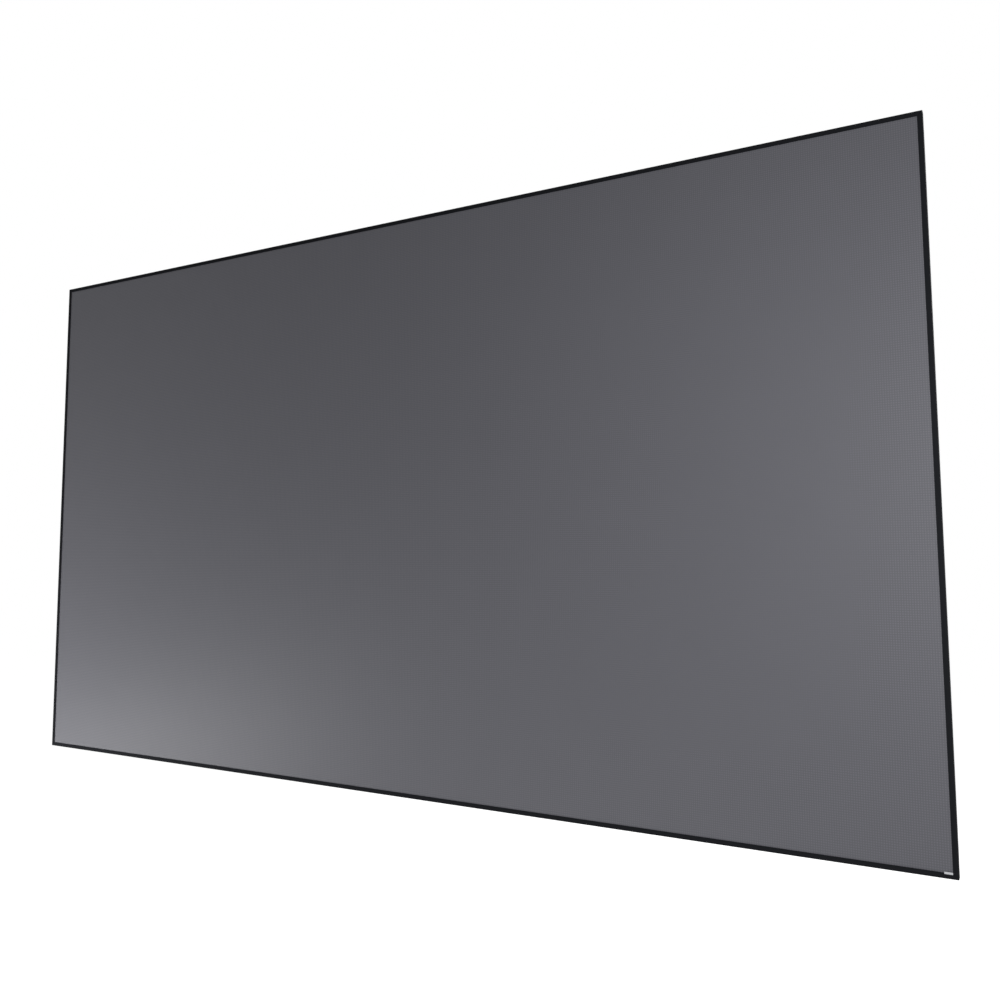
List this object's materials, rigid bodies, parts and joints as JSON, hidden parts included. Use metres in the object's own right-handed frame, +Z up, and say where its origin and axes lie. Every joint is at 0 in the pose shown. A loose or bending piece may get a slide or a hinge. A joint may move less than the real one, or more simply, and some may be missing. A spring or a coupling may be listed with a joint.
{
  "type": "fixed frame projector screen",
  "caption": "Wall-hung projector screen: grey cloth held taut over an aluminium frame by sprung rods, with a thin black bezel.",
  "frame": {"origin": "centre of the whole object's box", "axes": "+X to the viewer's right along the width, +Z up, +Y from the front of the cloth back to the wall"},
  "size_m": [2.231, 0.0412, 1.262],
  "materials": {
    "cloth": "grey coated projection cloth, satin front, dark back",
    "trim": "matte black coat on an extruded aluminium trim",
    "bar": "black anodised extrusion, satin",
    "zinc": "bright zinc plated",
    "screw": "black oxide",
    "rod": "pultruded glass fibre rod with steel springs",
    "tube": "mill finish, satin",
    "cap": "moulded black nylon",
    "rubber": "black rubber pad",
    "badge": "blank satin silver plate"
  },
  "bodies": {
    "root": {"bezel_trim_bottom_left": "trim", "bezel_trim_bottom_right": "trim", "bezel_trim_left": "trim", "bezel_trim_right": "trim", "bezel_trim_top_left": "trim", "bezel_trim_top_right": "trim", "centre_support": "tube", "corner_badge": "badge", "corner_bracket_bottom_left": "zinc", "corner_bracket_bottom_right": "zinc", "corner_bracket_top_left": "zinc", "corner_bracket_top_right": "zinc", "corner_screw_bottom_end_1": "screw", "corner_screw_bottom_end_2": "screw", "corner_screw_bottom_start_1": "screw", "corner_screw_bottom_start_2": "screw", "corner_screw_left_end_1": "screw", "corner_screw_left_end_2": "screw", "corner_screw_left_start_1": "screw", "corner_screw_left_start_2": "screw", "corner_screw_right_end_1": "screw", "corner_screw_right_end_2": "screw", "corner_screw_right_start_1": "screw", "corner_screw_right_start_2": "screw", "corner_screw_top_end_1": "screw", "corner_screw_top_end_2": "screw", "corner_screw_top_start_1": "screw", "corner_screw_top_start_2": "screw", "frame_bar_bottom_left": "bar", "frame_bar_bottom_right": "bar", "frame_bar_left": "bar", "frame_bar_right": "bar", "frame_bar_top_left": "bar", "frame_bar_top_right": "bar", "screen_cloth": "cloth", "splice_plate_bottom": "zinc", "splice_plate_top": "zinc", "splice_screw_bottom_end_1": "screw", "splice_screw_bottom_end_2": "screw", "splice_screw_bottom_start_1": "screw", "splice_screw_bottom_start_2": "screw", "splice_screw_top_end_1": "screw", "splice_screw_top_end_2": "screw", "splice_screw_top_start_1": "screw", "splice_screw_top_start_2": "screw", "support_cap_bottom": "cap", "support_cap_top": "cap", "tension_rod_bottom_left": "rod", "tension_rod_bottom_right": "rod", "tension_rod_left": "rod", "tension_rod_right": "rod", "tension_rod_top_left": "rod", "tension_rod_top_right": "rod", "wall_bracket_left": "zinc", "wall_bracket_right": "zinc", "wall_bumper_left": "rubber", "wall_bumper_right": "rubber"}
  },
  "joints": []
}
